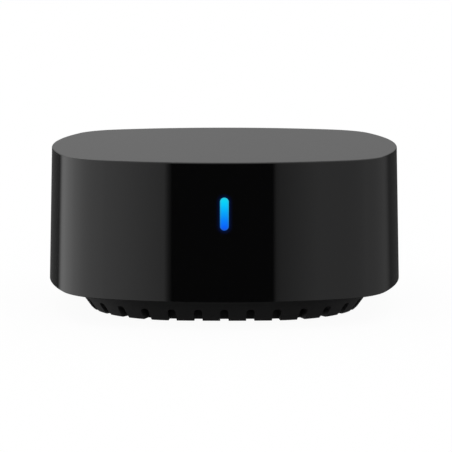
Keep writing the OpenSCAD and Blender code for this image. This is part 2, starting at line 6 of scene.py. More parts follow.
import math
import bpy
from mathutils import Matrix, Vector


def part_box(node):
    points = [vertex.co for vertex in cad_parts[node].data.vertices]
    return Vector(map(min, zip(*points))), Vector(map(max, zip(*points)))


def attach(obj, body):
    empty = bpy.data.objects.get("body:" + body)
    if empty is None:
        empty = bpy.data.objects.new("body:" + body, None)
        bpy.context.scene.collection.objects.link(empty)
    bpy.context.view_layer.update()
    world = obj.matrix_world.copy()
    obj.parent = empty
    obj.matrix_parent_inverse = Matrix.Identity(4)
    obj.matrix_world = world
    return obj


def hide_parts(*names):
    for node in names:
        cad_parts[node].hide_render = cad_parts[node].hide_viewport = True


bl_info = {
    "name": "Infrared Blaster Puck",
    "version": (1, 0, 0),
    "blender": (4, 5, 0),
    "location": "View3D > Sidebar > Puck",
    "description": "Builds the dressed pieces, the finishes and the studio of a smart infrared blaster puck",
    "category": "Add Mesh",
}

import bmesh
import bpy
from bpy.props import FloatProperty, FloatVectorProperty, IntProperty, PointerProperty
from mathutils import Matrix, Vector

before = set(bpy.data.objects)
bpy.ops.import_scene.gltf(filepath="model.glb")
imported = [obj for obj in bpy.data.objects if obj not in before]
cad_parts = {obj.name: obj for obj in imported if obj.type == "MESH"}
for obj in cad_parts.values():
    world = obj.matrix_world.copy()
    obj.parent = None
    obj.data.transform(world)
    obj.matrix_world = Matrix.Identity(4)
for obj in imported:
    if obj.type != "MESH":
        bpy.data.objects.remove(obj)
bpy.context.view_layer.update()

MM = 0.001
HOUSING, RESET = "housing", "reset"

# Clearance between fitted pieces, distance at which two points are one, and how far a cutter passes a face
SLIP = 0.1 * MM
WELD = 0.0005 * MM
CUT_PAST = 1 * MM

# Segments of a bowed side, of a corner and of half a round opening
SIDE_STEPS, CORNER_STEPS, ROUND_STEPS = 48, 24, 24

# Bearings of the four housing screws in degrees from the front
SCREW_ANGLES = (60, 120, 240, 300)

SHELL_LOW, SHELL_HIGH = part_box("upper_shell")
BASE_LOW, BASE_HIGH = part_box("base_cover")
FOOT_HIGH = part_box("foot_pad")[1]
BOARD_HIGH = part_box("main_board")[1]
LENS_LOW, LENS_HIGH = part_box("indicator_lens")
SOCKET_LOW, SOCKET_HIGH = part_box("usb_socket_shell")
BUTTON_LOW, BUTTON_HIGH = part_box("reset_button")


# Sizes and colours that a user would change

def length(name, description, default):
    return FloatProperty(name=name, description=description, default=default, unit="LENGTH",
                         subtype="DISTANCE", precision=5)


def tint(name, description, default):
    return FloatVectorProperty(name=name, description=description, default=default, subtype="COLOR", size=3,
                               min=0.0, max=1.0)


def share(name, description, default):
    return FloatProperty(name=name, description=description, default=default, min=0.0, max=1.0,
                         subtype="FACTOR")


class ShellSizes(bpy.types.PropertyGroup):
    lean: length("Lean", "How far each side leans in between its lower edge and the top", 0.6 * MM)
    bow: length("Side bow", "Radius of the four gently bowed sides, seen from above", 62.6 * MM)
    corner: length("Corner", "Radius of the four corners, seen from above", 12.8 * MM)
    wall: length("Wall", "Thickness of the side walls", 2 * MM)
    top_wall: length("Top wall", "Thickness of the top", 2 * MM)
    rim: length("Rim", "Rounding of the rim round the top", 0.25 * MM)
    lip: length("Lower edge", "Rounding of the shell's lower edge", 0.1 * MM)
    post: length("Post", "Diameter of the screw posts", 6 * MM)
    rib: length("Rib", "Thickness of the ribs that brace a post", 1 * MM)
    ring: length("Screw ring", "Distance of each housing screw from the centre", 17 * MM)
    pilot: length("Pilot hole", "Diameter of the screws' pilot holes", 2.4 * MM)


class BaseSizes(bpy.types.PropertyGroup):
    width: length("Underside", "Width of the base's underside", 50 * MM)
    flare: length("Flare", "How far each side flares out up to the shell", 3.4 * MM)
    bow: length("Side bow", "Radius of the bowed sides of the underside", 133 * MM)
    corner: length("Corner", "Corner radius of the underside", 17.4 * MM)
    wall: length("Wall", "Thickness of the flared wall, square to its face", 1.6 * MM)
    floor: length("Floor", "Thickness of the floor", 1.6 * MM)
    flange: length("Flange", "Thickness of the flange that closes the shell", 1.6 * MM)
    tongue: length("Tongue height", "Height of the tongue inside the shell wall", 1 * MM)
    tongue_wall: length("Tongue", "Thickness of the tongue", 1.2 * MM)
    tongue_gap: length("Tongue gap", "Clearance between the tongue and the shell wall", 0.15 * MM)
    edge: length("Edge", "Rounding of the lower edge", 0.15 * MM)
    foot_inset: length("Foot inset", "Distance of the foot's recess from the edge of the underside", 5.5 * MM)
    foot_recess: length("Foot recess", "Depth of the recess that the foot is glued in", 0.6 * MM)
    vents: IntProperty(name="Vents", description="Number of vent slots round the base", default=36,
                       min=8, max=60)
    vent_width: length("Vent width", "Width of a vent slot", 1.5 * MM)
    vent_height: length("Vent height", "Height of a vent slot above the underside", 2.3 * MM)
    vent_corner: length("Vent corner", "Radius of the two top corners of a vent slot", 0.6 * MM)
    vent_depth: length("Vent depth", "Depth of a vent slot from the edge of the underside", 2.1 * MM)
    screw_head: length("Screw well", "Diameter of the well for a screw's head", 4.8 * MM)
    screw_seat: length("Screw seat", "Height of a screw's seat above the underside", 2.7 * MM)
    screw_hole: length("Screw hole", "Diameter of the hole for a screw's shank", 2.7 * MM)


class FittingSizes(bpy.types.PropertyGroup):
    pill_width: length("Pill width", "Width of the light pill", 1.46 * MM)
    pill_height: length("Pill height", "Height of the light pill", 5.74 * MM)
    lens_flange: length("Lens flange", "Thickness of the lens flange behind the wall", 0.8 * MM)
    port_width: length("Port width", "Width of the recess round the inlet", 12.8 * MM)
    port_height: length("Port height", "Height of the recess round the inlet", 7.2 * MM)
    socket_height: length("Socket height", "Height of the inlet's metal shell", 3.26 * MM)
    socket_wall: length("Socket wall", "Thickness of the inlet's metal shell", 0.3 * MM)
    button: length("Button", "Diameter of the reset button", 4 * MM)
    button_flange: length("Button flange", "Thickness of the reset button's flange", 0.8 * MM)
    button_stem: length("Button stem", "Diameter of the stem behind the reset button", 2.4 * MM)
    button_stem_length: length("Stem length", "Length of the stem behind the reset button", 0.5 * MM)


class PuckColours(bpy.types.PropertyGroup):
    shell: tint("Shell", "Deep black of the gloss shell", (0.002, 0.002, 0.0022))
    base: tint("Base", "Black of the matt base", (0.021, 0.021, 0.0215))
    rubber: tint("Rubber", "Dark grey of the foot", (0.02, 0.02, 0.021))
    pill_top: tint("Pill edge top", "Paler cyan at the edge of the light pill, at its upper end",
                   (0.028, 0.5, 0.68))
    pill_foot: tint("Pill edge foot", "Paler blue at the edge of the light pill, at its lower end",
                    (0.012, 0.1, 0.5))
    side_gloss: share("Side roughness", "Roughness of the shell's polished sides", 0.03)
    top_satin: share("Top roughness", "Roughness of the shell's satin top", 0.38)


class StudioSettings(bpy.types.PropertyGroup):
    distance: length("Distance", "Distance from the camera to the point that it looks at", 461.3 * MM)
    aim: length("Aim height", "Height of the point that the camera looks at", 17.5 * MM)
    elevation: FloatProperty(name="Elevation", description="Height angle of the camera",
                             default=math.radians(7.382), subtype="ANGLE", unit="ROTATION")
    lens: FloatProperty(name="Lens", description="Focal length in millimetres", default=194.0,
                        min=10, max=500)
    shift_x: FloatProperty(name="Shift X", description="Sideways shift of the view", default=0.0036)
    shift_y: FloatProperty(name="Shift Y", description="Upward shift of the view", default=-0.0376)
    floor: length("Floor", "Width of the pale floor", 3000 * MM)
    sky: FloatProperty(name="Overhead", description="Level of the studio above, as the gloss shows it",
                       default=1.05)
    fill: FloatProperty(name="Fill", description="Level of the even light all round", default=1.0)


# Shader maths: a wire is a socket, and sums and products of wires add their own nodes

class Wire:
    def __init__(self, finish, socket):
        self.finish, self.socket = finish, socket

    def maths(self, operation, *others):
        return self.finish.node("ShaderNodeMath", {"operation": operation}, self, *others)

    def __add__(self, other):
        return self.maths("ADD", other)

    def __sub__(self, other):
        return self.maths("SUBTRACT", other)

    def __rsub__(self, other):
        return self.finish.node("ShaderNodeMath", {"operation": "SUBTRACT"}, other, self)

    def __mul__(self, other):
        return self.maths("MULTIPLY", other)

    def __truediv__(self, other):
        return self.maths("DIVIDE", other)

    def __pow__(self, other):
        return self.maths("POWER", other)

    def __gt__(self, other):
        return self.maths("GREATER_THAN", other)

    __radd__ = __add__
    __rmul__ = __mul__

    def ramp(self, low, high):
        """0 below low, 1 above high and smooth between."""
        return self.finish.node("ShaderNodeMapRange", {"interpolation_type": "SMOOTHSTEP"}, self, low, high)


def with_alpha(value):
    """A plain colour with its alpha, and anything else as it is."""
    return (*value, 1.0) if isinstance(value, (tuple, list)) and len(value) == 3 else value


def shades(colour, low, high):
    """A darker and a paler shade of a colour."""
    return tuple(c * low for c in colour), tuple(min(1.0, c * high) for c in colour)


class Finish:
    """Node tree of a material or of the world, with one method that adds any node."""

    def __init__(self, owner):
        owner.use_nodes = True
        self.tree = owner.node_tree
        self.tree.nodes.clear()

    def node(self, kind, settings, *values, out=0, **named):
        made = self.tree.nodes.new(kind)
        for key, value in settings.items():
            if key == "stops":
                self.set_stops(made.color_ramp, value)
            else:
                setattr(made, key, value)
        for index, value in enumerate(values):
            self.feed(made.inputs[index], value)
        for key, value in named.items():
            self.feed(made.inputs[key.replace("_", " ")], value)
        return Wire(self, made.outputs[out]) if len(made.outputs) else made

    def feed(self, socket, value):
        if isinstance(value, Wire):
            self.tree.links.new(value.socket, socket)
        elif value is not None:
            socket.default_value = value

    def set_stops(self, ramp, stops):
        while len(ramp.elements) > 1:
            ramp.elements.remove(ramp.elements[-1])
        for index, (place, colour) in enumerate(stops):
            element = ramp.elements[0] if index == 0 else ramp.elements.new(place)
            element.position = place
            element.color = with_alpha(colour if isinstance(colour, (tuple, list)) else (colour,) * 3)

    def place(self, scale):
        """Object coordinates in millimetres, stretched by a scale."""
        here = self.node("ShaderNodeTexCoord", {}, out="Object")
        grow = tuple(s / MM for s in scale)
        return self.node("ShaderNodeVectorMath", {"operation": "MULTIPLY"}, here, grow)

    def axis(self, name):
        """One object coordinate in metres."""
        here = self.node("ShaderNodeTexCoord", {}, out="Object")
        return self.node("ShaderNodeSeparateXYZ", {}, here, out=name)

    def grain(self, size, detail=2.0, scale=(1, 1, 1), rough=0.5):
        """Noise whose lumps are about size millimetres wide."""
        return self.node("ShaderNodeTexNoise", {"noise_dimensions": "3D"}, out="Fac",
                         Vector=self.place(scale), Scale=1.0 / size, Detail=detail, Roughness=rough)

    def cells(self, size, scale):
        """Distance to the edge of the nearest of many cells that are about size millimetres wide."""
        return self.node("ShaderNodeTexVoronoi", {"feature": "DISTANCE_TO_EDGE"}, out="Distance",
                         Vector=self.place(scale), Scale=1.0 / size)

    def blend(self, amount, first, second):
        """Colour between two colours."""
        made = self.tree.nodes.new("ShaderNodeMix")
        made.data_type = "RGBA"
        self.feed(made.inputs[0], amount)
        self.feed(made.inputs[6], with_alpha(first))
        self.feed(made.inputs[7], with_alpha(second))
        return Wire(self, made.outputs[2])

    def bump(self, height, depth):
        """Normal of a relief, where depth is in millimetres."""
        return self.node("ShaderNodeBump", {}, Strength=1.0, Distance=depth * MM, Height=height)


def surface(name, colour, rough, **more):
    """Material with a Principled surface. A number or colour goes straight on its socket."""
    material = bpy.data.materials.new(name)
    finish = Finish(material)
    shader = finish.tree.nodes.new("ShaderNodeBsdfPrincipled")
    output = finish.tree.nodes.new("ShaderNodeOutputMaterial")
    finish.tree.links.new(shader.outputs[0], output.inputs["Surface"])

    def set_socket(key, value):
        value = value(finish) if callable(value) else value
        finish.feed(shader.inputs[key], with_alpha(value))

    set_socket("Base Color", colour)
    set_socket("Roughness", rough)
    for key, value in more.items():
        set_socket(key.replace("_", " "), value)
    return material


# Bmesh helpers for this puck's forms

def trace(bm, start, moves):
    """Closed loop of edges: a vertex is dragged along lines and spun round centres, back to its start."""
    known = set(bm.edges)
    first = tip = bm.verts.new(start)
    for move in moves:
        if move[0] == "line":
            out = bmesh.ops.extrude_vert_indiv(bm, verts=[tip])
            tip = out["verts"][0]
            bmesh.ops.translate(bm, vec=move[1], verts=[tip])
        else:
            _, centre, axis, angle, steps = move
            out = bmesh.ops.spin(bm, geom=[tip], cent=centre, axis=axis, angle=angle, steps=steps)
            tip = [v for v in out["geom_last"] if isinstance(v, bmesh.types.BMVert)][0]
    bmesh.ops.pointmerge(bm, verts=[first, tip], merge_co=start)
    return [e for e in bm.edges if e not in known]


def grown(line, by):
    """An outline, as half width, bow and corner radius, moved outward by the same amount all round."""
    return tuple(size + by for size in line)


def arcs_of(line):
    """Places of an outline's arcs: its bows' centres, its corners' centres, and the angle of half a bow."""
    half, bow, corner = line
    far = bow - half
    corner_at = (math.sqrt(2 * (bow - corner) ** 2 - far ** 2) - far) / 2
    return far, corner_at, math.atan2(corner_at, corner_at + far)


def front_place(line, run):
    """Point on an outline's front side, a run along it from the middle, and the angle that it faces."""
    _, bow, corner = line
    far, corner_at, turn = arcs_of(line)
    past = abs(run) - bow * turn
    if past < 0:
        angle = abs(run) / bow
        x, y = bow * math.sin(angle), far - bow * math.cos(angle)
    else:
        angle = turn + past / corner
        x, y = corner_at + corner * math.sin(angle), -corner_at - corner * math.cos(angle)
    return Vector((math.copysign(x, run), y, 0)), math.copysign(angle, run)


def outline(bm, line, z):
    """Loop of four bowed sides joined by four corner arcs, at a height."""
    bow = line[1]
    far, corner_at, turn = arcs_of(line)
    up = (0, 0, 1)
    moves = []
    for side in range(4):
        quarter = Matrix.Rotation(side * math.pi / 2, 3, "Z")
        bow_centre = quarter @ Vector((-far, 0, z))
        corner_centre = quarter @ Vector((corner_at, corner_at, z))
        moves.append(("arc", bow_centre, up, 2 * turn, SIDE_STEPS))
        moves.append(("arc", corner_centre, up, math.pi / 2 - 2 * turn, CORNER_STEPS))
    return trace(bm, (bow * math.cos(turn) - far, -bow * math.sin(turn), z), moves)


def puck_form(bm, rings):
    """Closed solid through rings, each an outline, its outward run and its height, in order along the skin.

    The rings are bridged as an evenly spaced stack, and then each one moves to its own height.
    """
    step = 10 * MM
    loops = [outline(bm, grown(line, out), index * step) for index, (line, out, _) in enumerate(rings)]
    for first, second in zip(loops, loops[1:]):
        bmesh.ops.bridge_loops(bm, edges=first + second)
    for loop in (loops[0], loops[-1]):
        bmesh.ops.edgeloop_fill(bm, edges=loop)
    for index, (loop, ring) in enumerate(zip(loops, rings)):
        verts = list({v for e in loop for v in e.verts})
        bmesh.ops.translate(bm, vec=(0, 0, ring[2] - index * step), verts=verts)


def quarter_round(out, top, radius, start, steps):
    """Ring places round a convex edge: start 0 turns from a side to a top, -90 from underneath to a side."""
    return [(out - radius + radius * math.cos(math.radians(start + 90 * i / steps)),
             top + radius * math.sin(math.radians(start + 90 * i / steps))) for i in range(steps + 1)]


def pill_bar(bm, width, height, x, z, y_from, y_to):
    """Bar with a round-ended section that runs along Y."""
    radius = min(width, height) / 2
    run = Vector((max(0, width / 2 - radius), 0, max(0, height / 2 - radius)))
    side = Vector((0, 0, radius)) if width > height else Vector((radius, 0, 0))
    middle = Vector((x, y_from, z))
    axis = Vector((0, 1, 0))
    low = middle - run
    high = middle + run
    if run.length:
        moves = [("arc", low, axis, -math.pi, ROUND_STEPS), ("line", 2 * run),
                 ("arc", high, axis, -math.pi, ROUND_STEPS), ("line", -2 * run)]
    else:
        moves = [("arc", middle, axis, 2 * math.pi, 2 * ROUND_STEPS)]
    loop = trace(bm, low + side if width > height else low - side, moves)
    extrude_along(bm, loop, (0, y_to - y_from, 0))


def extrude_along(bm, loop, vec):
    """Closes a loop and pulls the face out into a solid."""
    face = bmesh.ops.edgeloop_fill(bm, edges=loop)["faces"]
    out = bmesh.ops.extrude_face_region(bm, geom=face, use_keep_orig=True)
    verts = [v for v in out["geom"] if isinstance(v, bmesh.types.BMVert)]
    bmesh.ops.translate(bm, vec=vec, verts=verts)


def upright(bm, diameter, x, y, foot, top, segments=48):
    """Upright cylinder."""
    place = Matrix.Translation((x, y, (foot + top) / 2))
    bmesh.ops.create_cone(bm, cap_ends=True, segments=segments, radius1=diameter / 2, radius2=diameter / 2,
                          depth=top - foot, matrix=place)


def brick(bm, low, high, turn=None):
    """Box between two corners."""
    low, high = Vector(low), Vector(high)
    place = Matrix.Translation((low + high) / 2) @ Matrix.Diagonal((*(high - low), 1))
    bmesh.ops.create_cube(bm, size=1, matrix=(turn or Matrix.Identity(4)) @ place)


def lathe(bm, profile, place):
    """Solid of a profile, as radius and height pairs, turned round Z and then placed."""
    known = set(bm.verts)
    steps = 64
    tip = bm.verts.new((profile[0][0], 0, profile[0][1]))
    for (r0, z0), (r1, z1) in zip(profile, profile[1:]):
        tip = bmesh.ops.extrude_vert_indiv(bm, verts=[tip])["verts"][0]
        bmesh.ops.translate(bm, vec=(r1 - r0, 0, z1 - z0), verts=[tip])
    made = [v for v in bm.verts if v not in known]
    edges = list({e for v in made for e in v.link_edges})
    bmesh.ops.spin(bm, geom=made + edges, cent=(0, 0, 0), axis=(0, 0, 1), angle=2 * math.pi, steps=steps,
                   use_merge=True)
    made = [v for v in bm.verts if v not in known]
    bmesh.ops.remove_doubles(bm, verts=made, dist=2 * WELD)
    made = [v for v in bm.verts if v not in known]
    bmesh.ops.transform(bm, matrix=place, verts=made)


def to_mesh(bm, name):
    """Mesh of a closed bmesh, with doubles merged and its faces turned outwards."""
    bmesh.ops.remove_doubles(bm, verts=bm.verts, dist=WELD)
    bmesh.ops.recalc_face_normals(bm, faces=bm.faces)
    mesh = bpy.data.meshes.new(name)
    bm.to_mesh(mesh)
    bm.free()
    return mesh


def combine(mesh, tool, operation):
    """The mesh after an exact union, difference or intersection with a second mesh."""
    made = bpy.data.objects.new("work", mesh)
    cutter = bpy.data.objects.new("work tool", tool)
    for item in (made, cutter):
        bpy.context.scene.collection.objects.link(item)
    step = made.modifiers.new("combine", "BOOLEAN")
    step.operation, step.solver, step.object = operation, "EXACT", cutter
    bpy.context.view_layer.update()
    shaped = made.evaluated_get(bpy.context.evaluated_depsgraph_get())
    result = bpy.data.meshes.new_from_object(shaped)
    for item in (made, cutter):
        bpy.data.objects.remove(item)
    if not len(result.polygons):
        raise RuntimeError(f"{operation} left nothing of {mesh.name}")
    return result


def softened(mesh, chosen, width):
    """The mesh with a small rounding along the sharp edges that chosen picks."""
    sharp = math.radians(35)
    bm = bmesh.new()
    bm.from_mesh(mesh)
    bmesh.ops.remove_doubles(bm, verts=bm.verts, dist=WELD)
    edges = [e for e in bm.edges
             if len(e.link_faces) == 2 and e.calc_face_angle(0) > sharp and chosen(e)]
    bmesh.ops.bevel(bm, geom=edges, offset=width, offset_type="OFFSET", segments=3, profile=0.5,
                    affect="EDGES", clamp_overlap=True, material=-1)
    bm.to_mesh(mesh)
    bm.free()
    return mesh


def finish_piece(name, mesh, material, slot, body, *nodes):
    """Makes the object of a piece, hangs it on its body and hides the imported parts that it stands in for.
    """
    mesh.name = name
    mesh.materials.clear()
    mesh.materials.append(material)
    mesh.shade_smooth()
    mesh.set_sharp_from_angle(angle=math.radians(32))
    piece = bpy.data.objects.new(name, mesh)
    bpy.context.scene.collection.objects.link(piece)
    even = piece.modifiers.new("even shading", "WEIGHTED_NORMAL")
    even.mode, even.weight, even.keep_sharp = "FACE_AREA", 100, True
    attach(piece, body)
    if nodes:
        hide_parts(*nodes)
    return piece


def around(angle, radius):
    """Place at an angle from the front and a distance from the centre."""
    turn = math.radians(angle)
    return Vector((radius * math.sin(turn), -radius * math.cos(turn), 0))


def shell_line(shell):
    """Outline of the shell's lower edge."""
    return (SHELL_HIGH.x - SHELL_LOW.x) / 2, shell.bow, shell.corner


# Finishes

def near_pill(finish, width, height):
    """Distance in metres from the light pill's middle line, seen square to the front."""
    middle = (LENS_LOW + LENS_HIGH) / 2
    x, z = finish.axis("X"), finish.axis("Z")
    up = (z - middle.z).maths("ABSOLUTE") - (height - width) / 2
    up = up.maths("MAXIMUM", 0.0)
    return (x * x + up * up).maths("SQRT")


def shell_finish(scene):
    """Piano black sides and a satin top, with a faint blue glow painted round the light pill as emission on
    the shell.
    """
    colours, fit = scene.puck_colours, scene.puck_fittings
    top = SHELL_HIGH.z

    def satin(finish):
        return finish.axis("Z").ramp(top - 0.3 * MM, top - 0.05 * MM)

    def rough(finish):
        on_top = satin(finish)
        sides = finish.grain(9.0, 3.0) * 0.012 + (colours.side_gloss - 0.006)
        tops = finish.grain(0.35, 2.0) * 0.04 + (colours.top_satin - 0.02)
        return sides * (1 - on_top) + tops * on_top

    def relief(finish):
        on_top = satin(finish)
        return finish.bump(finish.grain(0.12, 2.0) * on_top, 0.004)

    # Painted light: the shell itself emits faint blue round the pill, standing in for the pill's light
    # spilling onto it
    def painted_pill_glow(finish):
        reach, wall_front, wall_back = 1.1 * MM, -31 * MM, -30 * MM
        away = near_pill(finish, fit.pill_width, fit.pill_height) - fit.pill_width / 2
        glow = (1 - away.ramp(0.0, reach)) ** 2.0
        front = 1 - finish.axis("Y").ramp(wall_front, wall_back)
        return finish.blend(glow * front, (0.0, 0.0, 0.0), (0.0, 0.004, 0.03))

    return surface("shell_gloss_black", tuple(colours.shell), rough, Normal=relief, Emission_Color=painted_pill_glow,
                   Emission_Strength=1.0)


def base_finish(scene):
    """Black moulding with a fine eroded texture."""
    colours = scene.puck_colours
    return surface(
        "base_matt_black",
        lambda f: f.blend(f.grain(0.4, 3.0), *shades(colours.base, 0.85, 1.15)),
        lambda f: f.grain(0.3, 2.0) * 0.12 + 0.5,
        Normal=lambda f: f.bump(f.grain(0.14, 3.0, rough=0.6), 0.012),
        Specular_IOR_Level=0.3)


def rubber_finish(scene):
    """Dark rubber with a dull bloom."""
    rubber = tuple(scene.puck_colours.rubber)
    return surface(
        "foot_rubber_grey",
        lambda f: f.blend(f.grain(3.0, 4.0).ramp(0.35, 0.75), rubber, tuple(c * 1.7 for c in rubber)),
        lambda f: f.grain(0.5, 2.0) * 0.15 + 0.72,
        Normal=lambda f: f.bump(f.grain(0.2, 3.0), 0.02),
        Specular_IOR_Level=0.25)


def pill_finish(scene):
    """Lit diffusing plastic, cyan at the top and blue at the foot, dimmer and paler at its edge."""
    colours, fit = scene.puck_colours, scene.puck_fittings
    middle = (LENS_LOW.z + LENS_HIGH.z) / 2
    foot = middle - fit.pill_height / 2

    def glow(finish):
        up = (finish.axis("Z") - foot) / fit.pill_height
        core = finish.node("ShaderNodeValToRGB", {"stops": [
            (0.0, (0.004, 0.07, 0.75)), (0.08, (0.0012, 0.11, 0.93)), (0.3, (0.0006, 0.2, 0.95)),
            (0.55, (0.0003, 0.37, 0.95)), (0.78, (0.0, 0.57, 0.96)), (0.95, (0.002, 0.68, 0.88)),
            (1.0, (0.004, 0.6, 0.8))]}, up)
        away = near_pill(finish, fit.pill_width, fit.pill_height)
        edge = away.ramp(fit.pill_width * 0.3, fit.pill_width * 0.5)
        pale = finish.blend(up, tuple(colours.pill_foot), tuple(colours.pill_top))
        return finish.blend(edge * 0.85, core, pale)

    return surface("pill_lit_blue", (0.002, 0.01, 0.02), lambda f: f.grain(0.6, 2.0) * 0.05 + 0.2,
                   Emission_Color=glow, Emission_Strength=1.0, Specular_IOR_Level=0.2)


def board_finish(name, colour, light):
    """Solder mask over tracks, with a fine grain."""
    def tracks(finish):
        across = finish.cells(2.6, (1, 1, 0.2))
        return 1 - across.ramp(0.03, 0.07)

    return surface(
        name,
        lambda f: f.blend(tracks(f), colour, light),
        lambda f: f.grain(1.4, 2.0) * 0.12 + 0.3,
        Normal=lambda f: f.bump(tracks(f) + f.grain(0.3, 2.0) * 0.3, 0.02))


def brushed(name, colour, rough, along):
    """Plated or drawn metal with fine streaks along one axis."""
    return surface(
        name,
        lambda f: f.blend(f.grain(1.2, 3.0, along), *shades(colour, 0.88, 1.0)),
        lambda f: f.grain(0.25, 2.0, along) * 0.14 + rough,
        Normal=lambda f: f.bump(f.grain(0.12, 2.0, along), 0.006),
        Metallic=1.0)


def moulded(name, colour, rough, grain=0.3, depth=0.01, **more):
    """Moulded plastic, epoxy or ceramic with a fine grain."""
    return surface(
        name,
        lambda f: f.blend(f.grain(grain * 3, 3.0), *shades(colour, 0.86, 1.1)),
        lambda f: f.grain(grain, 2.0) * 0.12 + rough,
        Normal=lambda f: f.bump(f.grain(grain, 2.0), depth),
        **more)


def screw_finish():
    """Zinc-plated steel with a fine grain."""
    return surface(
        "screw_zinc_steel",
        lambda f: f.blend(f.grain(0.8, 3.0), (0.42, 0.43, 0.46), (0.62, 0.62, 0.64)),
        lambda f: f.grain(0.2, 2.0) * 0.15 + 0.28,
        Normal=lambda f: f.bump(f.grain(0.15, 2.0), 0.008),
        Metallic=1.0)


def ceramic_chip_finish():
    """Tan ceramic with paler patches."""
    def patches(finish):
        return finish.grain(0.9, 1.0).ramp(0.55, 0.6)

    return surface(
        "chip_tan_ceramic",
        lambda f: f.blend(patches(f), (0.42, 0.31, 0.2), (0.55, 0.42, 0.28)),
        lambda f: f.grain(0.2, 2.0) * 0.15 + 0.45,
        Normal=lambda f: f.bump(f.grain(0.12, 2.0), 0.008))


def can_finish():
    """Drawn aluminium can, with a black segment on its top."""
    low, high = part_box("bulk_capacitor")
    middle = (low + high) / 2

    def segment(finish):
        x = finish.axis("X") - (middle.x + 1.2 * MM)
        top = finish.axis("Z") > high.z - 0.2 * MM
        return top * (x > 0.0)

    return surface(
        "capacitor_aluminium",
        lambda f: f.blend(segment(f), (0.72, 0.73, 0.75), (0.02, 0.02, 0.022)),
        lambda f: f.grain(0.2, 2.0, (1, 1, 6)) * 0.15 + 0.25,
        Metallic=lambda f: 1 - segment(f),
        Normal=lambda f: f.bump(f.grain(0.12, 2.0, (1, 1, 8)), 0.006))


# One operator for each piece or group of like pieces

class PUCK_OT_shell_cover(bpy.types.Operator):
    """One-piece gloss cover with its screw posts, pill slot, inlet recess and button hole"""
    bl_idname = "puck.shell_cover"
    bl_label = "Shell Cover"

    def execute(self, context):
        size, fit = context.scene.puck_shell, context.scene.puck_fittings
        foot, top = SHELL_LOW.z, SHELL_HIGH.z
        line = shell_line(size)
        mesh = to_mesh(self.body(size, line, foot, top), "shell")

        ceiling = top - size.top_wall
        into_top = ceiling + size.top_wall / 2
        deck = BOARD_HIGH.z
        places = [around(a, size.ring) for a in SCREW_ANGLES]
        posts = bmesh.new()
        for spot in places:
            upright(posts, size.post, spot.x, spot.y, deck, into_top)
        mesh = combine(mesh, to_mesh(posts, "posts"), "UNION")
        reach, rib_foot = size.post / 2 + 2 * MM, ceiling - 6 * MM
        for quarter in (0, 90):
            ribs = bmesh.new()
            for angle, spot in zip(SCREW_ANGLES, places):
                turn = Matrix.Translation(spot) @ Matrix.Rotation(math.radians(angle + quarter), 4, "Z")
                brick(ribs, (-reach, -size.rib / 2, rib_foot), (reach, size.rib / 2, into_top), turn)
            mesh = combine(mesh, to_mesh(ribs, "ribs"), "UNION")

        socket = (SOCKET_LOW + SOCKET_HIGH) / 2
        z = SOCKET_HIGH.z - fit.socket_height / 2
        button = (BUTTON_LOW + BUTTON_HIGH) / 2
        lens = (LENS_LOW + LENS_HIGH) / 2
        recess_floor, outside = SOCKET_HIGH.y + SLIP, line[0] + 2 * CUT_PAST
        pill_slot_end, button_hole_end, socket_hole_end = -29.4 * MM, 29.6 * MM, 28 * MM
        wide = bmesh.new()
        pill_bar(wide, fit.pill_width + SLIP, fit.pill_height + SLIP, 0, lens.z, -outside, pill_slot_end)
        pill_bar(wide, fit.port_width, fit.port_height, socket.x, z, recess_floor, outside)
        hole = fit.button + 2 * SLIP
        pill_bar(wide, hole, hole, button.x, button.z, button_hole_end, outside)
        mesh = combine(mesh, to_mesh(wide, "openings"), "DIFFERENCE")
        mesh = softened(mesh, self.on_rear_face, 0.15 * MM)
        deep = bmesh.new()
        play, pilot_depth = 3 * SLIP, 4.5 * MM
        pill_bar(deep, SOCKET_HIGH.x - SOCKET_LOW.x + play, fit.socket_height + play, socket.x, z,
                 socket_hole_end, line[0])
        for spot in places:
            upright(deep, size.pilot, spot.x, spot.y, deck - CUT_PAST, deck + pilot_depth, 32)
        mesh = combine(mesh, to_mesh(deep, "holes"), "DIFFERENCE")
        finish_piece("shell_cover", mesh, shell_finish(context.scene), "shell_black", HOUSING, "upper_shell")
        return {"FINISHED"}

    def body(self, size, line, foot, top):
        """Outer skin with a rounded rim and lower edge, joined to the cavity's skin."""
        run = -size.lean / (top - size.rim - foot)
        hold = 0.12 * MM    # Narrow rings beside the roundings keep the shading of the faces even
        ceiling = top - size.top_wall
        edge = [(-size.wall - size.lean * (ceiling - foot) / (top - foot), ceiling), (-size.wall, foot)]
        edge += quarter_round(run * size.lip, foot + size.lip, size.lip, -90, 4)
        edge += [(run * (size.lip + hold), foot + size.lip + hold),
                 (run * (top - size.rim - hold - foot), top - size.rim - hold)]
        edge += quarter_round(-size.lean, top - size.rim, size.rim, 0, 8)
        edge += [(-size.lean - size.rim - 2 * hold, top)]
        bm = bmesh.new()
        puck_form(bm, [(line, out, z) for out, z in edge])
        return bm

    @staticmethod
    def on_rear_face(edge):
        """Rims of the recess and the button hole where they meet the outside."""
        rear, side, low, high = 31.7 * MM, 14 * MM, 6.5 * MM, 16 * MM
        return all(v.co.y > rear and abs(v.co.x) < side and low < v.co.z < high for v in edge.verts)


